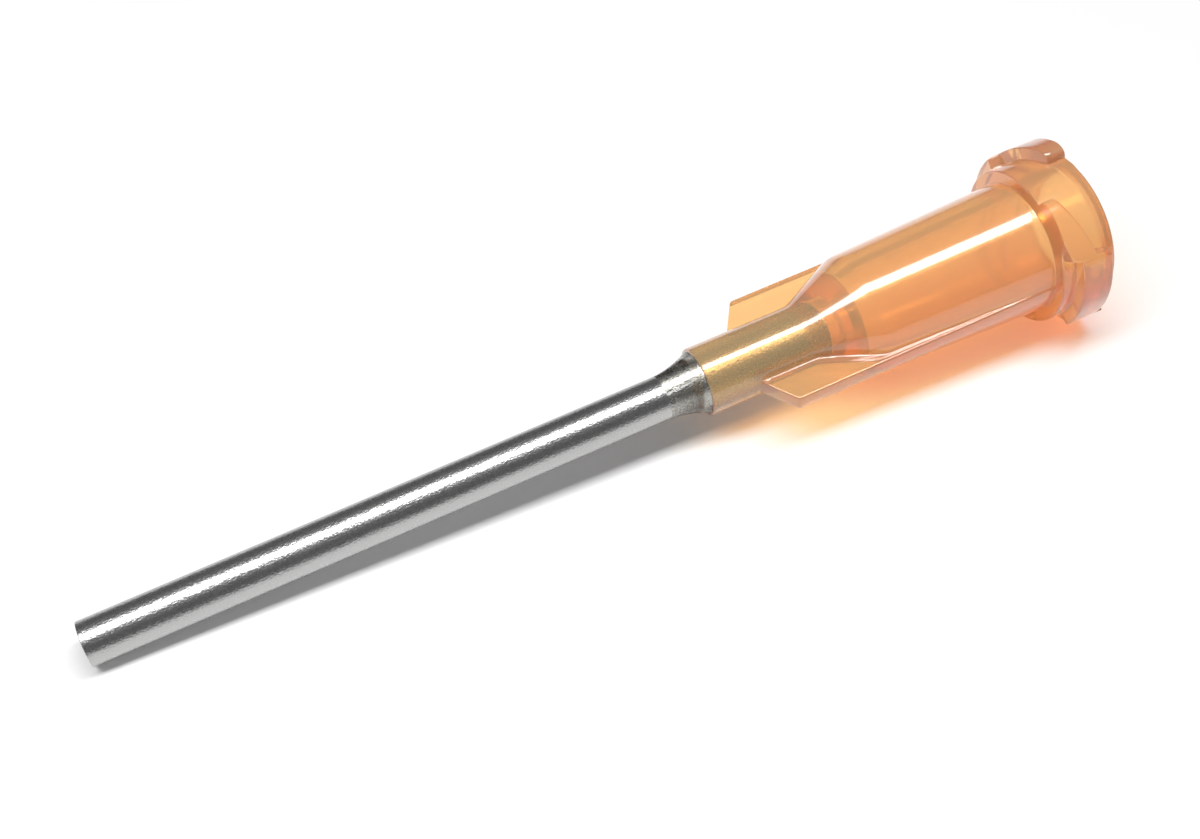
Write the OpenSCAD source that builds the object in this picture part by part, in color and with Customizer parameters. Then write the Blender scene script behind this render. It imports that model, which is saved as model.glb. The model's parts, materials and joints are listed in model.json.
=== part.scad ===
// Blunt dispensing needle: a stainless steel cannula bonded into a moulded
// hub with a Luer lock socket. It lies on a level surface, on the lower edge
// of the cannula's tip and on the ends of the two Luer lugs.
// Each piece is drawn upright, with the needle's axis on Z, the tip's end
// face at zero and the hub above it. lay_down() then lays it on the surface.

/* [Cannula] */
// Outside diameter of the steel tube
cannula_od = 1.83; // [1.2:0.01:2.1]
// Wall thickness of the steel tube
cannula_wall = 0.23; // [0.1:0.01:0.3]
// Length of tube that stands out of the hub
exposed_length = 25.4; // [12:0.1:50]

/* [Adhesive] */
// Radial gap between the tube and its bore, filled by the adhesive
glue_film = 0.03; // [0.01:0.005:0.06]
// How far the adhesive climbs the tube in front of the hub
meniscus_length = 1.8; // [0.5:0.05:3]

/* [Neck and shoulder] */
// Outside diameter of the neck that grips the tube
neck_d = 2.9; // [2.7:0.05:3.2]
// Length of the neck in front of the shoulder
neck_length = 4.7; // [3:0.1:6]
// Length of the conical shoulder between neck and barrel
shoulder_length = 2.5; // [1.8:0.1:3.5]
// Rounding of the neck's front edge
neck_edge_r = 0.12; // [0.05:0.01:0.2]
// Rounding where the neck meets the shoulder
neck_blend_r = 0.8; // [0.2:0.1:1.5]

/* [Barrel] */
// Length of the barrel between the shoulder and the collar
barrel_length = 7.9; // [5:0.1:14]
// Outside diameter of the barrel next to the shoulder
barrel_front_d = 5.2; // [5:0.05:5.5]
// Outside diameter of the barrel next to the collar
barrel_rear_d = 5.7; // [5.6:0.05:6.2]
// Rounding where the shoulder meets the barrel
barrel_blend_r = 1.2; // [0.3:0.1:2]

/* [Wings] */
// Thickness of each flat wing
wing_thickness = 0.7; // [0.3:0.05:1]
// Distance across the two wings, edge to edge
wing_span = 5.8; // [5.6:0.05:6.6]
// Distance of the wings' roots from the front of the hub
wing_setback = 2.1; // [0.5:0.1:2.5]
// How far a wing's outer corner lies behind its root
wing_rake = 0.95; // [0:0.05:1.2]
// Rounding of a wing's outer front corner
wing_corner_r = 0.15; // [0.05:0.05:0.4]

/* [Collar and lugs] */
// Diameter of the collar that carries the lugs
collar_d = 6.75; // [6.6:0.05:7]
// Length of the collar along the hub
collar_length = 2.5; // [2.2:0.1:3.2]
// Rounding of the collar's edges
collar_edge_r = 0.12; // [0.05:0.01:0.2]
// Diameter over the two lugs
lug_d = 7.8; // [7.6:0.01:7.9]
// Distance that a lug's locking face climbs in one full turn
lug_lead = 5; // [4.5:0.1:5.5]
// Distance that a lug's back face climbs in one full turn
lug_back_lead = 7.5; // [5.5:0.1:9]
// Width of a lug's crest at its narrow end
lug_width = 0.85; // [0.4:0.05:1]
// Distance of a lug's narrow end from the rim
lug_reach = 2.9; // [2.4:0.05:3.2]
// Slope of a lug's sides, as extra width at its base
lug_flank = 0.15; // [0:0.01:0.25]
// Angle that each lug covers around the collar
lug_span = 150; // [90:5:160]
// Angle over which a lug's ends are rounded
lug_end = 10; // [4:1:20]

/* [Luer socket] */
// Diameter of the socket at the rim, before its lead-in
socket_d = 4.3; // [4.27:0.005:4.32]
// Change of the socket's diameter in each millimetre of depth
socket_taper = 0.06; // [0.055:0.005:0.065]
// Size of the lead-in chamfer at the rim
lead_in = 0.2; // [0.1:0.05:0.3]
// How far the socket reaches past the barrel into the shoulder
socket_reach = 0.4; // [0:0.05:0.6]
// Thickness of the web between the socket and the tube's bore
web = 0.5; // [0.3:0.05:0.9]
// Room left in the bore behind the end of the tube
seat_gap = 0.6; // [0.1:0.05:0.8]

/* [Hidden] */
$fn = 96;

cannula_r = cannula_od / 2;
cannula_bore_r = cannula_r - cannula_wall;
bore_r = cannula_r + glue_film;
neck_r = neck_d / 2;
barrel_front_r = barrel_front_d / 2;
barrel_rear_r = barrel_rear_d / 2;
wing_r = wing_span / 2;
collar_r = collar_d / 2;
lug_r = lug_d / 2;

// Stations along the axis, measured from the tip
hub_front = exposed_length;
wing_start = hub_front + wing_setback;
shoulder_start = hub_front + neck_length;
barrel_start = shoulder_start + shoulder_length;
collar_start = barrel_start + barrel_length;
rim = collar_start + collar_length;
socket_floor = barrel_start - socket_reach;
bore_end = socket_floor - web;
cannula_end = bore_end - seat_gap;

// The socket narrows evenly from the rim down to its floor
socket_r = socket_d / 2;
socket_floor_r = socket_r - socket_taper / 2 * (rim - socket_floor);
lead_in_r = socket_r - socket_taper / 2 * lead_in;

// Length by which a cut runs past the face it opens
past = 1;

// How deep the wings and lugs are rooted in the form they stand on
root = 0.3;

// Angle between two sections of a lug
lug_step = 2.5;

// Half the gap between the lugs, which faces down
lug_gap = (180 - lug_span) / 2;

// A lug's section tapers to this share of its height at both ends
lug_low = 0.3;

// The needle rests on its tip and on one end of each lug. These ends lie
// rest_angle to either side of the gap's middle and lug_offset apart along
// the axis, which gives the tilt of the axis and the roll about it.
rest_angle = lug_gap + lug_end / 2;
rest_r = lug_crest(lug_end / 2) * cos(rest_angle);
lug_offset = collar_length - lug_reach + lug_lead * (lug_span - lug_end / 2) / 360;
tilt = atan((rest_r - cannula_r) / (collar_start + lug_offset / 2));
roll = asin(lug_offset * tan(tilt) / (2 * lug_r * sin(rest_angle)));

// Length that the laid needle covers on the surface
laid_length = rim * cos(tilt) + (rest_r + cannula_r) * sin(tilt);

// Unit vector of a plane vector
function unit(v) = v / norm(v);

// The arc of radius r that rounds corner b between its neighbours a and c
function corner(a, b, c, r, steps = 6) =
    let (
        u = unit(a - b),
        v = unit(c - b),
        half = acos(u * v) / 2,
        centre = b + unit(u + v) * r / sin(half),
        p = b + u * r / tan(half) - centre,
        q = b + v * r / tan(half) - centre
    )
    [for (i = [0:steps]) centre + unit(p * (1 - i / steps) + q * i / steps) * r];

// A closed outline whose rows are [x, y, corner radius]
function rounded(rows) = [
    for (i = [0:len(rows) - 1])
        let (
            n = len(rows),
            a = [rows[(i + n - 1) % n].x, rows[(i + n - 1) % n].y],
            b = [rows[i].x, rows[i].y],
            c = [rows[(i + 1) % n].x, rows[(i + 1) % n].y]
        )
        each rows[i].z > 0 ? corner(a, b, c, rows[i].z) : [b]
];

// Steel tube with both ends cut square
module cannula() {
    color("silver")
    lay_down()
    difference() {
        cylinder(r = cannula_r, h = cannula_end);
        translate([0, 0, -past])
        cylinder(r = cannula_bore_r, h = cannula_end + 2 * past);
    }
}

// Clear adhesive: a film round the seated tube that ends in front of the hub
// in a hollow meniscus
module adhesive() {
    steps = 10;
    climb = neck_r - neck_edge_r - cannula_r;
    color("gainsboro")
    lay_down()
    rotate_extrude()
    polygon(concat(
        [for (i = [0:steps]) [
            cannula_r + climb * pow(i / steps, 2),
            hub_front - meniscus_length * (1 - i / steps)
        ]],
        [
            [bore_r, hub_front],
            [bore_r, cannula_end],
            [cannula_r, cannula_end]
        ]
    ));
}

// Moulded hub: neck, shoulder, barrel and collar in one turned form, with two
// wings and two lugs on it
module hub() {
    color("darkorange")
    lay_down()
    difference() {
        union() {
            hub_body();
            wings();
            lugs();
        }
        waterway();
    }
}

module hub_body() {
    rotate_extrude()
    polygon(rounded([
        [0, hub_front, 0],
        [neck_r, hub_front, neck_edge_r],
        [neck_r, shoulder_start, neck_blend_r],
        [barrel_front_r, barrel_start, barrel_blend_r],
        [barrel_rear_r, collar_start, 0],
        [collar_r, collar_start, collar_edge_r],
        [collar_r, rim, collar_edge_r],
        [0, rim, 0]
    ]));
}

// Two flat wings in one plane, square to the gaps between the lugs
module wings() {
    rotate([90, 0, 90])
    translate([0, 0, -wing_thickness / 2])
    linear_extrude(wing_thickness)
    for (side = [0, 1])
        mirror([side, 0])
        polygon(rounded([
            [0, wing_start, 0],
            [neck_r, wing_start, 0],
            [wing_r, wing_start + wing_rake, wing_corner_r],
            [wing_r, collar_start + root, 0],
            [0, collar_start + root, 0]
        ]));
}

// Radius of a lug's crest at an angle from its narrow end
function lug_crest(angle) =
    let (
        into = min(angle, lug_span - angle) / lug_end,
        rise = into >= 1 ? 1 : sqrt(1 - pow(1 - into, 2))
    )
    collar_r + (lug_r - collar_r) * (lug_low + (1 - lug_low) * rise);

// Section of a lug at an angle from its narrow end, turned to its place
function lug_section(angle) =
    let (
        crest = lug_crest(angle),
        face = rim - lug_reach + lug_lead * angle / 360,
        back = face + lug_width + (lug_back_lead - lug_lead) * angle / 360,
        base = collar_r - root,
        turn = lug_gap + angle
    )
    [
        for (p = [[base, face - lug_flank], [crest, face], [crest, back], [base, back + lug_flank]])
            [p.x * cos(turn), p.x * sin(turn), p.y]
    ];

// Solid through a row of sections that have the same number of corners
module loft(sections) {
    n = len(sections[0]);
    last = n * (len(sections) - 1);
    polyhedron(
        [for (section = sections) each section],
        concat(
            [[for (k = [0:n - 1]) n - 1 - k]],
            [
                for (j = [0:n:last - 1], k = [0:n - 1])
                    [j + k, j + (k + 1) % n, j + n + (k + 1) % n, j + n + k]
            ],
            [[for (k = [0:n - 1]) last + k]]
        )
    );
}

// Two helical lugs, a double-start thread cut off level with the collar
module lugs() {
    intersection() {
        for (start = [0, 180])
            rotate([0, 0, start])
            loft([for (angle = [0:lug_step:lug_span]) lug_section(angle)]);
        translate([0, 0, collar_start])
        cylinder(r = lug_r + past, h = collar_length);
    }
}

// Hollow through the hub: the tube's bore, a small hole in the web, and the
// tapered socket with its lead-in
module waterway() {
    translate([0, 0, hub_front - past])
    cylinder(r = bore_r, h = bore_end - hub_front + past);
    translate([0, 0, hub_front])
    cylinder(r = cannula_bore_r, h = rim - hub_front);
    translate([0, 0, socket_floor])
    cylinder(r1 = socket_floor_r, r2 = socket_r, h = rim - socket_floor);
    translate([0, 0, rim - lead_in])
    cylinder(r1 = lead_in_r, r2 = lead_in_r + 2 * lead_in, h = 2 * lead_in);
}

// Lays the needle on the surface, its axis over X and its hub at +X
module lay_down() {
    translate([cannula_r * sin(tilt) - laid_length / 2, 0, cannula_r * cos(tilt)])
    rotate([0, 90 - tilt, 0])
    rotate([0, 0, roll])
    children();
}

cannula();
adhesive();
hub();
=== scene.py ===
# %% [markdown]
# # A dispensing needle: steel tube, moulded amber hub, a drop of adhesive
#
# The needle lies on a white table. Three pieces make it: a blunt stainless
# steel tube, a translucent polypropylene hub and the clear adhesive between
# them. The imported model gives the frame: where the needle's axis runs, how
# far it leans and how big everything is. What Blender adds is light that goes
# through plastic, so most of the lesson is about clean closed meshes and about
# glass-like materials.

# %% The frame comes first
import bpy
import json
import math
import numpy as np
from mathutils import Matrix, Vector


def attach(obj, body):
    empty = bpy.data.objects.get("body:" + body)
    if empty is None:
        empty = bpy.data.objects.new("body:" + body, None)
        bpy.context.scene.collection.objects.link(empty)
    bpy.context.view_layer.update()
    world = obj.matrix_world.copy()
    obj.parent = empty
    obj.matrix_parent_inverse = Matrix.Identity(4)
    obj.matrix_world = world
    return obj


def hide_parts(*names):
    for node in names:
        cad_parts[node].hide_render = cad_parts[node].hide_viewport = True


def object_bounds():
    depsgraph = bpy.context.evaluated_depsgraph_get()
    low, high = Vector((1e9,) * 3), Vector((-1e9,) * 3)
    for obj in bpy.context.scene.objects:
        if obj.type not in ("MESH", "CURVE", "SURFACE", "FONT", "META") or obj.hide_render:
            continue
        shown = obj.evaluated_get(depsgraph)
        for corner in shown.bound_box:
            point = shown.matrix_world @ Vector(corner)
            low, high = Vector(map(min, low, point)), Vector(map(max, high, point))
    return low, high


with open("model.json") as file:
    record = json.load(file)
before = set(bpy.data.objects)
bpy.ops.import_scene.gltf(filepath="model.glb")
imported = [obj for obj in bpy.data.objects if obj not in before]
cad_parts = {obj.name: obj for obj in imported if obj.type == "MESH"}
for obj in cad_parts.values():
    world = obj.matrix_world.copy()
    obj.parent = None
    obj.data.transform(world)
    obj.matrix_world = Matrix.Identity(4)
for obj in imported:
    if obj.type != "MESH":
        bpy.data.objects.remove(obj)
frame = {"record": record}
CAD_BOX = [list(corner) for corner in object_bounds()]
MM = 0.001
print("CAD box in mm", [[round(v / MM, 3) for v in corner] for corner in CAD_BOX])

# %% [markdown]
# ## The needle's own axes
#
# It is much easier to draw a turned part upright than leaning. So each piece
# is drawn in millimetres along its own Z axis, with the tip's end face at
# zero, and one matrix lays it down. The record's mounts give that matrix: the
# tube's bore has a point on the axis and the direction in which it points. The
# needle is also rolled a little about its axis, because it rests on the ends
# of two helical lugs that lie at different heights.

# %% The matrix that lays the needle down
ROLL_DEG = 2.27

mounts = {mount["name"]: mount for mount in frame["record"]["mounts"]}
bore_mount = mounts["cannula_bore"]
axis_out = Vector(bore_mount["axis"]).normalized()
AXIS = -axis_out
TIP = Vector(bore_mount["pos_m"]) + axis_out * bore_mount["dims"]["length_mm"] / 2 * MM
LEAN = math.asin(AXIS.z)

LAID = (
    Matrix.Translation(TIP)
    @ Matrix.Rotation(math.pi / 2 - LEAN, 4, "Y")
    @ Matrix.Rotation(math.radians(ROLL_DEG), 4, "Z")
)
print("lean in degrees", round(math.degrees(LEAN), 3), "tip in mm", [round(v / MM, 3) for v in TIP])

# %% [markdown]
# ## The camera
#
# The needle is small, so the camera is only 63 mm away and looks down at about
# fifty degrees. It stands nearer to the tip than to the hub: the rim is about
# 9 mm farther off, so beside the tip it looks an eighth smaller than it would
# from afar. That is what makes a close view look close. The camera is placed
# by an azimuth, an elevation and a distance from a point on the needle, which
# is easier to read and to change than a matrix.

# %% Place the camera
TARGET = Vector((-0.53, 0.0, 2.57)) * MM
CAMERA_AZIMUTH = -114.44
CAMERA_ELEVATION = 49.8
CAMERA_DISTANCE = 63.0
CAMERA_ROLL = -1.63
LENS = 48.0
SENSOR = 36.0


def direction(azimuth, elevation):
    """The unit vector at an azimuth from +X and an elevation, in degrees."""
    a, e = math.radians(azimuth), math.radians(elevation)
    return Vector((math.cos(e) * math.cos(a), math.cos(e) * math.sin(a), math.sin(e)))


def aim(obj, at):
    """Turns a camera or a lamp so that it looks at a point."""
    obj.rotation_euler = (at - obj.location).to_track_quat("-Z", "Y").to_euler()


camera = bpy.data.objects.new("camera", bpy.data.cameras.new("camera"))
camera.data.lens = LENS
camera.data.sensor_width = SENSOR
camera.data.clip_start = 1 * MM
camera.data.clip_end = 10.0
camera.location = TARGET + direction(CAMERA_AZIMUTH, CAMERA_ELEVATION) * CAMERA_DISTANCE * MM
aim(camera, TARGET)
camera.rotation_euler = (
    camera.rotation_euler.to_matrix() @ Matrix.Rotation(math.radians(CAMERA_ROLL), 3, "Z")
).to_euler()
bpy.context.scene.collection.objects.link(camera)
bpy.context.scene.camera = camera
bpy.context.scene.view_settings.view_transform = "Standard"
print("camera at mm", [round(v / MM, 2) for v in camera.location])

# %% [markdown]
# ## Helpers for materials
#
# Colours are written as sRGB hex, as a paint chart gives them, and one function
# turns them into the linear values that Blender works in. A second function
# adds a node with its settings and its links, which keeps a material's recipe
# short enough to read from top to bottom. Inputs are named as Blender names
# them, with _ for a space. Some nodes give two inputs the same name, so i0, i1
# and i2 stand for the first, second and third.

# %% Colour and node helpers
def linear(hex_colour):
    """Linear RGBA from an sRGB hex colour."""
    parts = [int(hex_colour[i:i + 2], 16) / 255 for i in (1, 3, 5)]
    rgb = [v / 12.92 if v <= 0.04045 else ((v + 0.055) / 1.055) ** 2.4 for v in parts]
    return (*rgb, 1.0)


def new_material(name):
    """An empty node material and its output node."""
    material = bpy.data.materials.new(name)
    material.use_nodes = True
    material.node_tree.nodes.clear()
    return material, add(material.node_tree, "ShaderNodeOutputMaterial")


def add(tree, kind, settings=None, **inputs):
    """Adds a node, sets its properties, and sets or links its inputs by name."""
    made = tree.nodes.new(kind)
    for key, value in (settings or {}).items():
        setattr(made, key, value)
    for key, value in inputs.items():
        by_number = key[0] == "i" and key[1:].isdigit()
        socket = made.inputs[int(key[1:]) if by_number else key.replace("_", " ")]
        if isinstance(value, bpy.types.NodeSocket):
            tree.links.new(value, socket)
        else:
            socket.default_value = value
    return made


print("plain white is", linear("#ffffff"), "and mid grey is", round(linear("#808080")[0], 3))

# %% [markdown]
# ## A mesh from outlines
#
# A turned part is an outline swept round an axis. The hub is almost that: its
# outline changes with the angle, where a wing or a lug stands out. So one
# function makes a closed mesh from a list of outlines, one for each angle, all
# with the same number of points. Every corner of an outline is rounded by a
# short curve, because moulded plastic has no sharp edges and it is those small
# round edges that catch the light.

# %% Rounded outlines and the mesh between them
CORNER_POINTS = 5
MOST_OF_A_SIDE = 0.45
SHARP_DEG = 38
TINY = 1e-6


def rounded(corners):
    """A closed outline from corners (station, radius, cut, extra). Each corner becomes
    a curve that starts cut mm before it. Extra points follow on the way to the next one."""
    points = []
    count = len(corners)
    for i, (s, r, cut, extra) in enumerate(corners):
        before = np.array(corners[i - 1][:2])
        here = np.array([s, r])
        after = np.array(corners[(i + 1) % count][:2])
        next_cut = corners[(i + 1) % count][2]
        to_before, to_after = before - here, after - here
        gap_before = max(np.linalg.norm(to_before), TINY)
        gap_after = max(np.linalg.norm(to_after), TINY)
        curve_in = here + to_before / gap_before * min(cut, MOST_OF_A_SIDE * gap_before)
        curve_out = here + to_after / gap_after * min(cut, MOST_OF_A_SIDE * gap_after)
        for t in np.linspace(0, 1, CORNER_POINTS):
            points.append((1 - t) ** 2 * curve_in + 2 * t * (1 - t) * here + t ** 2 * curve_out)
        next_in = after - to_after / gap_after * min(next_cut, MOST_OF_A_SIDE * gap_after)
        for t in np.linspace(0, 1, extra + 2)[1:-1]:
            points.append(curve_out + (next_in - curve_out) * t)
    return np.array(points)


def skin(name, rings):
    """A closed mesh through rings of points, joined round the axis and along each ring."""
    rings = np.array(rings)
    columns, rows = rings.shape[:2]
    faces = []
    for i in range(columns):
        j = (i + 1) % columns
        for k in range(rows):
            m = (k + 1) % rows
            faces.append((i * rows + k, j * rows + k, j * rows + m, i * rows + m))
    mesh = bpy.data.meshes.new(name)
    mesh.from_pydata((rings.reshape(-1, 3) * MM).tolist(), [], faces)
    mesh.transform(LAID)
    mesh.shade_smooth()
    mesh.set_sharp_from_angle(angle=math.radians(SHARP_DEG))
    piece = bpy.data.objects.new(name, mesh)
    bpy.context.scene.collection.objects.link(piece)
    return piece


def turned(name, corners, columns=160):
    """A plain turned piece: the same outline at every angle."""
    outline = rounded(corners)
    return skin(name, [
        [(r * math.cos(a), r * math.sin(a), s) for s, r in outline]
        for a in np.linspace(0, 2 * math.pi, columns, endpoint=False)
    ])


# %% [markdown]
# ## The steel tube
#
# The real tube is drawn stainless steel, cut square and lightly deburred. It is
# a turned outline with edges broken by 0.03 mm: without that tiny round the end
# face would meet the outside in a line that no lamp could light.

# %% Turn the tube
TUBE_R = 0.915
TUBE_BORE_R = 0.685
TUBE_LENGTH = bore_mount["dims"]["length_mm"]
DEBURR = 0.03

tube = turned("steel_tube", [
    (0, TUBE_BORE_R, DEBURR, 1),
    (0, TUBE_R, DEBURR, 30),
    (TUBE_LENGTH, TUBE_R, DEBURR, 1),
    (TUBE_LENGTH, TUBE_BORE_R, DEBURR, 30),
])
print("tube", len(tube.data.vertices), "points")

# %% [markdown]
# ## The adhesive
#
# A little clear adhesive shows where the tube enters the hub. It wets both, so
# its surface is hollow, rising from the steel to the hub's front edge. Inside,
# it fills the gap between tube and plastic, and that is why the steel looks
# magnified in the neck: light goes from plastic to steel with no air between.
# The hub's bore is therefore drawn a hair inside the steel's surface.

# %% Turn the meniscus
HUB_FRONT = 25.4
NECK_R = 1.45
WETTED_R = 0.9
MENISCUS = 1.8
MENISCUS_STEPS = 12
MENISCUS_END = 0.985
HUB_GAP = 0.006

climb = NECK_R - 0.12 - TUBE_R
meniscus = turned("adhesive_meniscus", [
    (HUB_FRONT - MENISCUS - 0.02, WETTED_R, 0, 0),
    *[
        (HUB_FRONT - MENISCUS * (1 - t), TUBE_R - 0.005 + climb * t ** 2, 0, 0)
        for t in np.linspace(0, MENISCUS_END, MENISCUS_STEPS)
    ],
    (HUB_FRONT - HUB_GAP, TUBE_R + climb, 0.01, 2),
    (HUB_FRONT - HUB_GAP, WETTED_R, 0, 6),
])
print("meniscus climbs", round(climb, 3), "mm")

# %% [markdown]
# ## The hub
#
# The hub is one moulding. Its outline runs from the tube's bore round the neck,
# up the shoulder, along the barrel, over the collar and the rim, and back down
# the tapered socket to the bore. Two things change with the angle:
#
# - two flat wings, 0.7 mm thick, lie along the barrel;
# - two Luer lugs wind round the collar as a double-start thread.
#
# A boolean could join wings and lugs to a turned body, but it leaves ragged
# faces at the seams, which show at once in clear plastic. Here each angle gets
# its own outline, so the whole hub is one even grid.

# %% Stations and sizes of the hub, in mm from the tip
# The body, from the front to the rim and down the socket.
WING_START = 27.5
SHOULDER_START = 30.1
BARREL_START = 32.6
COLLAR_START = 40.5
RIM = 43.0
BARREL_FRONT_R = 2.6
BARREL_REAR_R = 2.85
WING_R = 2.9
WING_RAKE = 0.95
COLLAR_R = 3.375
SOCKET_FLOOR = 32.2
SOCKET_FLOOR_R = 1.826
LEAD_IN = 0.2
SOCKET_R = 2.144
BORE_END = 31.7
BORE_R = 0.945

# The lugs. A lead is how far a face climbs along the axis in a whole turn.
LUG_R = 3.9
LUG_GAP_DEG = 15
LUG_SPAN_DEG = 150
LUG_END_DEG = 10
LUG_LOW = 0.3
LUG_REACH = 2.9
LUG_WIDTH = 0.85
LUG_LEAD = 5.0
LUG_BACK_LEAD = 7.5
LUG_FLANK = 0.15
LUG_ROOT = 0.3

print("barrel wall at the collar", round(BARREL_REAR_R - SOCKET_R, 3), "mm")
print("web", round(SOCKET_FLOOR - BORE_END, 3), "mm")

# %% [markdown]
# ### The lugs
#
# A lug's place along the axis follows from its angle alone, as on any screw
# thread. Its back face climbs faster than its locking face, so the lug widens
# as it turns. Both ends fall away in a short quarter ellipse. In the gap between
# two lugs the outline keeps the same number of corners, but they lie flat on
# the collar, so that the grid runs through without a break.

# %% How far a lug stands out at a station and an angle
COLLAR_STEP = 0.05
FLAT_FLANK = 0.1


def lug_faces(turn):
    """The stations of a lug's locking face and back face, turn degrees from its narrow end."""
    face = RIM - LUG_REACH + LUG_LEAD * turn / 360
    return face, face + LUG_WIDTH + (LUG_BACK_LEAD - LUG_LEAD) * turn / 360


def lug_crest(turn):
    """The radius of a lug's crest, which falls in a quarter ellipse towards both ends."""
    into = min(turn, LUG_SPAN_DEG - turn) / LUG_END_DEG
    rise = 1 if into >= 1 else math.sqrt(1 - (1 - into) ** 2)
    return COLLAR_R + (LUG_R - COLLAR_R) * (LUG_LOW + (1 - LUG_LOW) * rise)


def collar_corners(angle):
    """The collar's corners at an angle: its front edge, the four corners of a lug, and the rim."""
    turn = angle % 180 - LUG_GAP_DEG
    inside = -TINY <= turn <= LUG_SPAN_DEG + TINY
    if inside:
        face, back = lug_faces(turn)
        crest = lug_crest(min(max(turn, 0), LUG_SPAN_DEG))
        flank = LUG_FLANK * (crest - COLLAR_R) / (crest - COLLAR_R + LUG_ROOT)
    else:
        past = turn - LUG_SPAN_DEG if turn > LUG_SPAN_DEG else turn + 180 - LUG_SPAN_DEG
        share = past / (180 - LUG_SPAN_DEG)
        ends = [np.array(lug_faces(t)) for t in (LUG_SPAN_DEG, 0)]
        face, back = ends[0] + (ends[1] - ends[0]) * share
        crest, flank = COLLAR_R, FLAT_FLANK

    def radius(s):
        if not inside or s <= face - flank or s >= back + flank:
            return COLLAR_R
        height = min(1, (s - face + flank) / flank, (back + flank - s) / flank)
        return COLLAR_R + (crest - COLLAR_R) * height

    stations = [
        max(face - flank, COLLAR_START + COLLAR_STEP),
        max(face, COLLAR_START + 2 * COLLAR_STEP),
        min(back, RIM - 2 * COLLAR_STEP),
        min(back + flank, RIM - COLLAR_STEP),
    ]
    return [
        (COLLAR_START, radius(COLLAR_START + TINY), 0.08, 0),
        *[(s, radius(s), 0.07, 2 if k == 1 else 0) for k, s in enumerate(stations)],
        (RIM, radius(RIM - TINY), 0.1, 0),
    ]


print("lug faces at its two ends", [[round(s, 2) for s in lug_faces(t)] for t in (0, LUG_SPAN_DEG)])

# %% [markdown]
# ### One outline
#
# Where a wing stands, its outline differs from the body's only in the radius:
# the neck, the shoulder and the barrel all reach out to the wing's crest. The
# raked front of the wing is a slope of about a millimetre.

# %% The hub's outline at an angle, with or without a wing
TUBE_SEAT_GAP = 0.04


def hub_outline(angle, winged):
    """The hub's closed outline at an angle about its axis."""
    def out(body_r):
        return WING_R if winged else body_r

    return rounded([
        (HUB_FRONT, WETTED_R, 0.02, 0),
        (HUB_FRONT, NECK_R, 0.09, 2),
        (WING_START, NECK_R, 0.06, 3),
        (WING_START + WING_RAKE, out(NECK_R), 0.12, 2),
        (SHOULDER_START, out(NECK_R), 0.18, 3),
        (BARREL_START, out(BARREL_FRONT_R), 0.26, 8),
        (COLLAR_START, out(BARREL_REAR_R), 0.06, 0),
        *collar_corners(angle),
        (RIM, SOCKET_R + LEAD_IN, 0.03, 0),
        (RIM - LEAD_IN, SOCKET_R, 0.05, 8),
        (SOCKET_FLOOR, SOCKET_FLOOR_R, 0.12, 1),
        (SOCKET_FLOOR, TUBE_BORE_R, 0.03, 0),
        (BORE_END, TUBE_BORE_R, 0.03, 0),
        (BORE_END, BORE_R, 0.03, 0),
        (TUBE_LENGTH - TUBE_SEAT_GAP, BORE_R, 0.01, 0),
        (TUBE_LENGTH - TUBE_SEAT_GAP, WETTED_R, 0.01, 6),
    ])


print("points in one outline", len(hub_outline(0, False)), "and with a wing", len(hub_outline(90, True)))

# %% [markdown]
# ### Where the columns of the grid go
#
# The grid needs closely spaced columns only where the form turns a corner: at
# the edges of the wings and at the ends of the lugs. A wing's sides are flat,
# so its columns keep a fixed distance from the wing's middle plane, and their
# angle depends on the radius. The columns between a wing and the open barrel
# share out what is left.

# %% Columns of the hub's grid
# Each row: distance from the wing's middle plane, drop from its crest, share of its height.
WING_EDGE = [
    (0.0, 0.0, 1.0), (0.12, 0.0, 1.0), (0.24, 0.0, 1.0), (0.29, 0.0, 1.0), (0.325, 0.015, 1.0),
    (0.342, 0.04, 1.0), (0.35, 0.08, 1.0), (0.353, 0.08, 0.66), (0.356, 0.08, 0.33),
    (0.362, 0.08, 0.08), (0.38, 0.08, 0.015), (0.41, 0.08, 0.0),
]
WING_REACH_DEG = 30
SIDE_STEPS = 8
COLUMN_STEP_DEG = 2.5
LUG_END_STEPS = [-0.3, 0, 0.4, 1, 2, 3.5, 5, 7.5]


def hub_ring(angle, offset=None, drop=0.0, share=0.0, side=None):
    """One outline of the hub as points. offset is a distance from a wing's middle plane.
    side is a place between the wing's foot, 0, and the open barrel, 1 or -1."""
    outline = hub_outline(angle, False)
    if offset is not None:
        wing = hub_outline(angle, True)
        rise = np.maximum(wing[:, 1] - outline[:, 1] - drop, 0) * share
        outline = np.stack([
            outline[:, 0] + (wing[:, 0] - outline[:, 0]) * share,
            outline[:, 1] + rise,
        ], axis=1)
    points = []
    for s, r in outline:
        at = math.radians(angle)
        foot = max(r, NECK_R)
        if offset is not None:
            at += math.asin(offset / foot)
        elif side is not None:
            edge = math.asin(WING_EDGE[-1][0] / foot)
            at += math.copysign(edge + (math.radians(WING_REACH_DEG) - edge) * abs(side), side)
        points.append((r * math.cos(at), r * math.sin(at), s))
    return points


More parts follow.
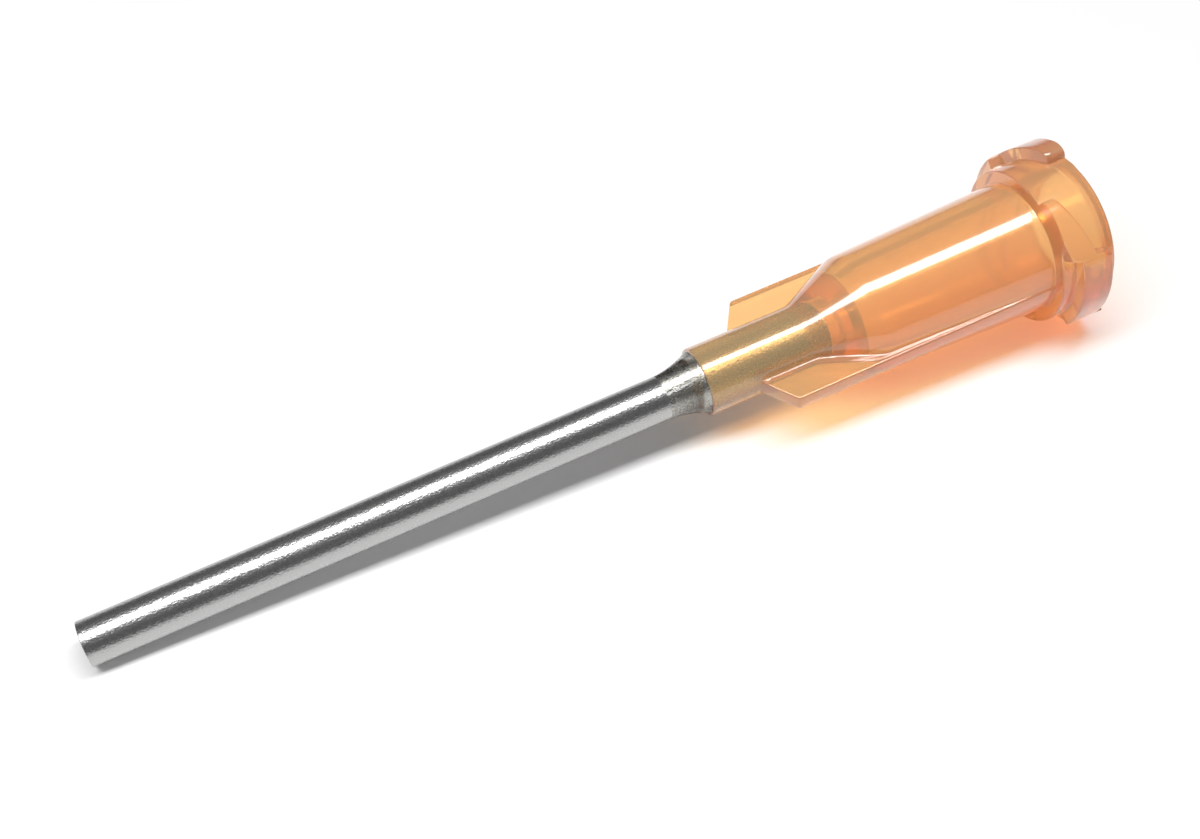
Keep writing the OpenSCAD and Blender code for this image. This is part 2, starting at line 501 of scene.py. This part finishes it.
def half_turn(start):
    """The rings of half a turn, from the middle of one gap between the lugs to the next."""
    wing_at = start + 90
    even = set(np.arange(0, 90 - WING_REACH_DEG, COLUMN_STEP_DEG))
    at_lug_end = set(np.arange(LUG_GAP_DEG, LUG_GAP_DEG + LUG_END_DEG, COLUMN_STEP_DEG))
    close = {LUG_GAP_DEG + t for t in LUG_END_STEPS}
    open_angles = sorted(even - at_lug_end | close)
    rings = [hub_ring(start + a) for a in open_angles]
    for k in range(SIDE_STEPS, 0, -1):
        rings.append(hub_ring(wing_at, side=-k / SIDE_STEPS))
    for w, drop, share in WING_EDGE[::-1]:
        rings.append(hub_ring(wing_at, -w, drop, share))
    for w, drop, share in WING_EDGE[1:]:
        rings.append(hub_ring(wing_at, w, drop, share))
    for k in range(1, SIDE_STEPS + 1):
        rings.append(hub_ring(wing_at, side=k / SIDE_STEPS))
    rings += [hub_ring(start + 180 - a) for a in open_angles[:0:-1]]
    return rings


hub = skin("amber_hub", half_turn(0) + half_turn(180))
print("hub", len(hub.data.vertices), "points")

# %% [markdown]
# ## Amber polypropylene
#
# The hub is moulded from polypropylene with a transparent amber dye. Dyed
# plastic gets most of its colour on the way through, so the dye is an
# absorption inside: a thin wing comes out pale and the thick barrel deep
# orange from one material. Polypropylene is also a little cloudy, because it
# forms small crystals as it cools. About a quarter of the surface therefore
# scatters light instead of passing it on, which softens what lies behind. A
# thin smooth skin on top keeps the sharp highlight of a moulded part.
#
# Light passes clear plastic only by refraction, and a lamp is hard to find
# that way. So for shadow rays alone the surface lets the lamp through in a
# straight line, with a warm tint that colours the hub's shadow. The adhesive
# needs the same, so it is a function.

# %% Glass that lets the lamp through
def let_lamp_through(tree, body, tint, output):
    """Joins a glass to the output, and makes it a tinted clear film for shadow rays."""
    film = add(tree, "ShaderNodeBsdfTransparent", Color=linear(tint))
    shadow_ray = add(tree, "ShaderNodeLightPath").outputs["Is Shadow Ray"]
    either = add(
        tree, "ShaderNodeMixShader",
        i0=shadow_ray, i1=body.outputs["BSDF"], i2=film.outputs["BSDF"],
    )
    tree.links.new(either.outputs["Shader"], output.inputs["Surface"])


# %% The amber material
AMBER_SKIN = "#f9dca6"
AMBER_SHADOW = "#dccba2"
CLEAR_SHARE = 0.72
# Absorbed per mm of plastic: about 0.04 of the red, 0.32 of the green and 0.72 of the blue.
DYE = "#f9cb59"
DYE_DENSITY = 800.0
# Waves about 1.1 mm long, as moulding leaves them, and 0.02 mm high at most.
FLOW_SCALE = 900.0
FLOW_HEIGHT = 0.02


def amber_polypropylene():
    """Gives warm depth, a soft view of what lies behind, and a crisp highlight."""
    material, output = new_material("amber_polypropylene")
    tree = material.node_tree
    place = add(tree, "ShaderNodeTexCoord").outputs["Object"]
    flow = add(tree, "ShaderNodeTexNoise", Vector=place, Scale=FLOW_SCALE, Detail=2.0)
    dent = add(
        tree, "ShaderNodeBump", Height=flow.outputs["Fac"], Strength=0.04, Distance=FLOW_HEIGHT * MM
    )
    body = add(
        tree, "ShaderNodeBsdfPrincipled",
        Base_Color=linear(AMBER_SKIN), Roughness=0.14, IOR=1.49, Transmission_Weight=CLEAR_SHARE,
        Coat_Weight=1.0, Coat_Roughness=0.05, Normal=dent.outputs["Normal"],
    )
    let_lamp_through(tree, body, AMBER_SHADOW, output)
    dye = add(tree, "ShaderNodeVolumeAbsorption", Color=linear(DYE), Density=DYE_DENSITY)
    tree.links.new(dye.outputs["Volume"], output.inputs["Volume"])
    return material


hub.data.materials.append(amber_polypropylene())
print("absorbed per mm", [round((1 - v) * DYE_DENSITY * MM, 3) for v in linear(DYE)[:3]])

# %% [markdown]
# ## Drawn stainless steel
#
# Drawing and grinding leave fine scratches on the tube, which spread a
# highlight and break its edge into grain. The metal's colour is a neutral grey.
# The grain is a fine noise, a little longer along the tube than across it, and
# it changes both the roughness and the surface, by about a hundredth of a
# millimetre.

# %% The steel material
STEEL = "#b6b6b5"
SMOOTHEST = 0.2
ROUGHEST = 0.36
# Grain about 0.07 mm across and 0.12 mm along the tube.
GRAIN_SCALE = 14000.0
GRAIN_HEIGHT = 0.012


def drawn_steel():
    """Gives long dark and light bands whose edges are ragged with fine grain."""
    material, output = new_material("drawn_stainless_steel")
    tree = material.node_tree
    place = add(tree, "ShaderNodeTexCoord").outputs["Object"]
    along = add(tree, "ShaderNodeMapping", Vector=place, Scale=(0.6, 1.0, 1.0))
    grain = add(
        tree, "ShaderNodeTexNoise", Vector=along.outputs["Vector"], Scale=GRAIN_SCALE, Detail=3.0
    ).outputs["Fac"]
    rough = add(tree, "ShaderNodeMapRange", Value=grain, To_Min=SMOOTHEST, To_Max=ROUGHEST)
    bump = add(tree, "ShaderNodeBump", Height=grain, Strength=1.0, Distance=GRAIN_HEIGHT * MM)
    body = add(
        tree, "ShaderNodeBsdfPrincipled",
        Base_Color=linear(STEEL), Metallic=1.0,
        Roughness=rough.outputs["Result"], Normal=bump.outputs["Normal"],
    )
    tree.links.new(body.outputs["BSDF"], output.inputs["Surface"])
    return material


tube.data.materials.append(drawn_steel())
print("grain size in mm", round(1 / GRAIN_SCALE / MM, 3))

# %% [markdown]
# ## Clear adhesive
#
# The adhesive has no colour of its own. One sees it because its hollow curve
# bends the steel's dark and light bands, so a smooth glass with the IOR of a
# cured adhesive is enough.

# %% The cured adhesive
def clear_adhesive():
    """Gives a dark glassy ring in front of the hub."""
    material, output = new_material("clear_cured_adhesive")
    tree = material.node_tree
    body = add(
        tree, "ShaderNodeBsdfPrincipled",
        Base_Color=linear("#f6f5ee"), Roughness=0.03, IOR=1.5, Transmission_Weight=1.0,
    )
    let_lamp_through(tree, body, "#f4f4ee", output)
    return material


meniscus.data.materials.append(clear_adhesive())
print("materials", [piece.active_material.name for piece in (tube, meniscus, hub)])

# %% [markdown]
# ## Each piece on its body, in place of its node
#
# Nothing moves on a needle, so every piece rides on the one body, root. Each
# piece takes the place of the plain solid of its node, which is hidden.

# %% Bodies and nodes
for piece, node, slot in (
    (tube, "cannula", "steel"),
    (meniscus, "adhesive", "adhesive"),
    (hub, "hub", "hub_plastic"),
):
    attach(piece, "root")
    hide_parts(node)

# %% [markdown]
# ## The table and the room
#
# The table is white paper. Lit at a plain level white paper comes out light
# grey, so for what the camera sees, directly or in metal and glass, the table
# also shines a little of its own, up to white. The lamp's light falls off with
# distance, so for the camera alone the paper shines more from 40 mm outwards,
# and the far table stays white. The shadows lie nearer than that and stay.

# %% Table
TABLE_SIZE = 3000
PAPER = "#e7e7e7"
NEAR_GLOW = 0.1
FAR_GLOW = 0.9
FAR_START = 40
FAR_END = 250

half = TABLE_SIZE / 2 * MM
table_corners = [(-half, -half, 0), (half, -half, 0), (half, half, 0), (-half, half, 0)]
table_mesh = bpy.data.meshes.new("table")
table_mesh.from_pydata(table_corners, [], [(0, 1, 2, 3)])
table = bpy.data.objects.new("table", table_mesh)
table.location.z = CAD_BOX[0][2]
bpy.context.scene.collection.objects.link(table)


def math_node(tree, operation, *values):
    """The output of a maths node."""
    inputs = {f"i{k}": value for k, value in enumerate(values)}
    return add(tree, "ShaderNodeMath", {"operation": operation}, **inputs).outputs[0]


def seen(tree):
    """1 for a ray from the camera, or one that metal or glass sends on, and else 0."""
    path = add(tree, "ShaderNodeLightPath").outputs
    direct = path["Is Camera Ray"]
    for sent_on in ("Is Glossy Ray", "Is Transmission Ray"):
        direct = math_node(tree, "MAXIMUM", direct, path[sent_on])
    return direct


def white_paper():
    """Gives a clean white ground that still takes a shadow."""
    material, output = new_material("white_paper")
    tree = material.node_tree
    paper = add(tree, "ShaderNodeBsdfDiffuse", Color=linear(PAPER))
    glow = add(tree, "ShaderNodeEmission", Color=linear("#ffffff"))
    place = add(tree, "ShaderNodeTexCoord").outputs["Object"]
    distance = add(tree, "ShaderNodeVectorMath", {"operation": "LENGTH"}, i0=place).outputs["Value"]
    far = add(
        tree, "ShaderNodeMapRange",
        Value=distance, From_Min=FAR_START * MM, From_Max=FAR_END * MM, To_Max=FAR_GLOW,
    )
    camera_ray = add(tree, "ShaderNodeLightPath").outputs["Is Camera Ray"]
    beyond = math_node(tree, "MULTIPLY", far.outputs["Result"], camera_ray)
    lift = math_node(tree, "MULTIPLY_ADD", seen(tree), NEAR_GLOW, beyond)
    tree.links.new(lift, glow.inputs["Strength"])
    both = add(tree, "ShaderNodeAddShader", i0=paper.outputs["BSDF"], i1=glow.outputs["Emission"])
    tree.links.new(both.outputs["Shader"], output.inputs["Surface"])
    return material


table.data.materials.append(white_paper())
print("table at mm", round(table.location.z / MM, 3), "and", TABLE_SIZE, "mm wide")

# %% [markdown]
# ## The light
#
# A metal tube shows its surroundings and little else. In an evenly lit room it
# would look like flat grey paint, so the room is dark and nearly all the light
# comes from one long narrow lamp overhead, parallel to the needle. Its
# reflection is the bright band on the tube and the crisp line on the barrel.
# The lamp reaches farther out beyond the tip than beyond the hub, so that the
# line on the barrel ends at the collar. The width of the lamp sets how soft the
# shadow is.
#
# The room itself stays white for the camera, and only for the camera.

# %% Room light
ROOM_LEVEL = 0.14

world = bpy.data.worlds.new("room")
bpy.context.scene.world = world
world.use_nodes = True
room = world.node_tree
room.nodes.clear()
walls = add(room, "ShaderNodeBackground", Color=linear("#ffffff"), Strength=ROOM_LEVEL)
white = add(room, "ShaderNodeBackground", Color=linear("#ffffff"), Strength=1.0)
camera_ray = add(room, "ShaderNodeLightPath").outputs["Is Camera Ray"]
sky = add(
    room, "ShaderNodeMixShader",
    i0=camera_ray, i1=walls.outputs["Background"], i2=white.outputs["Background"],
)
add(room, "ShaderNodeOutputWorld", Surface=sky.outputs["Shader"])
print("room level", ROOM_LEVEL)

# %% The lamp overhead
LAMP_LENGTH = 210
LAMP_WIDTH = 38
LAMP_WATTS = 0.3
LAMP_AT = (-24, -4, 140)
LAMP_LOOKS_AT = (-24, 0, 0)

softbox = bpy.data.lights.new("overhead_softbox", "AREA")
softbox.shape = "RECTANGLE"
softbox.size = LAMP_LENGTH * MM
softbox.size_y = LAMP_WIDTH * MM
softbox.energy = LAMP_WATTS
overhead = bpy.data.objects.new("overhead_softbox", softbox)
overhead.location = Vector(LAMP_AT) * MM
aim(overhead, Vector(LAMP_LOOKS_AT) * MM)
bpy.context.scene.collection.objects.link(overhead)
print("lamp", LAMP_LENGTH, "by", LAMP_WIDTH, "mm,", LAMP_WATTS, "W")
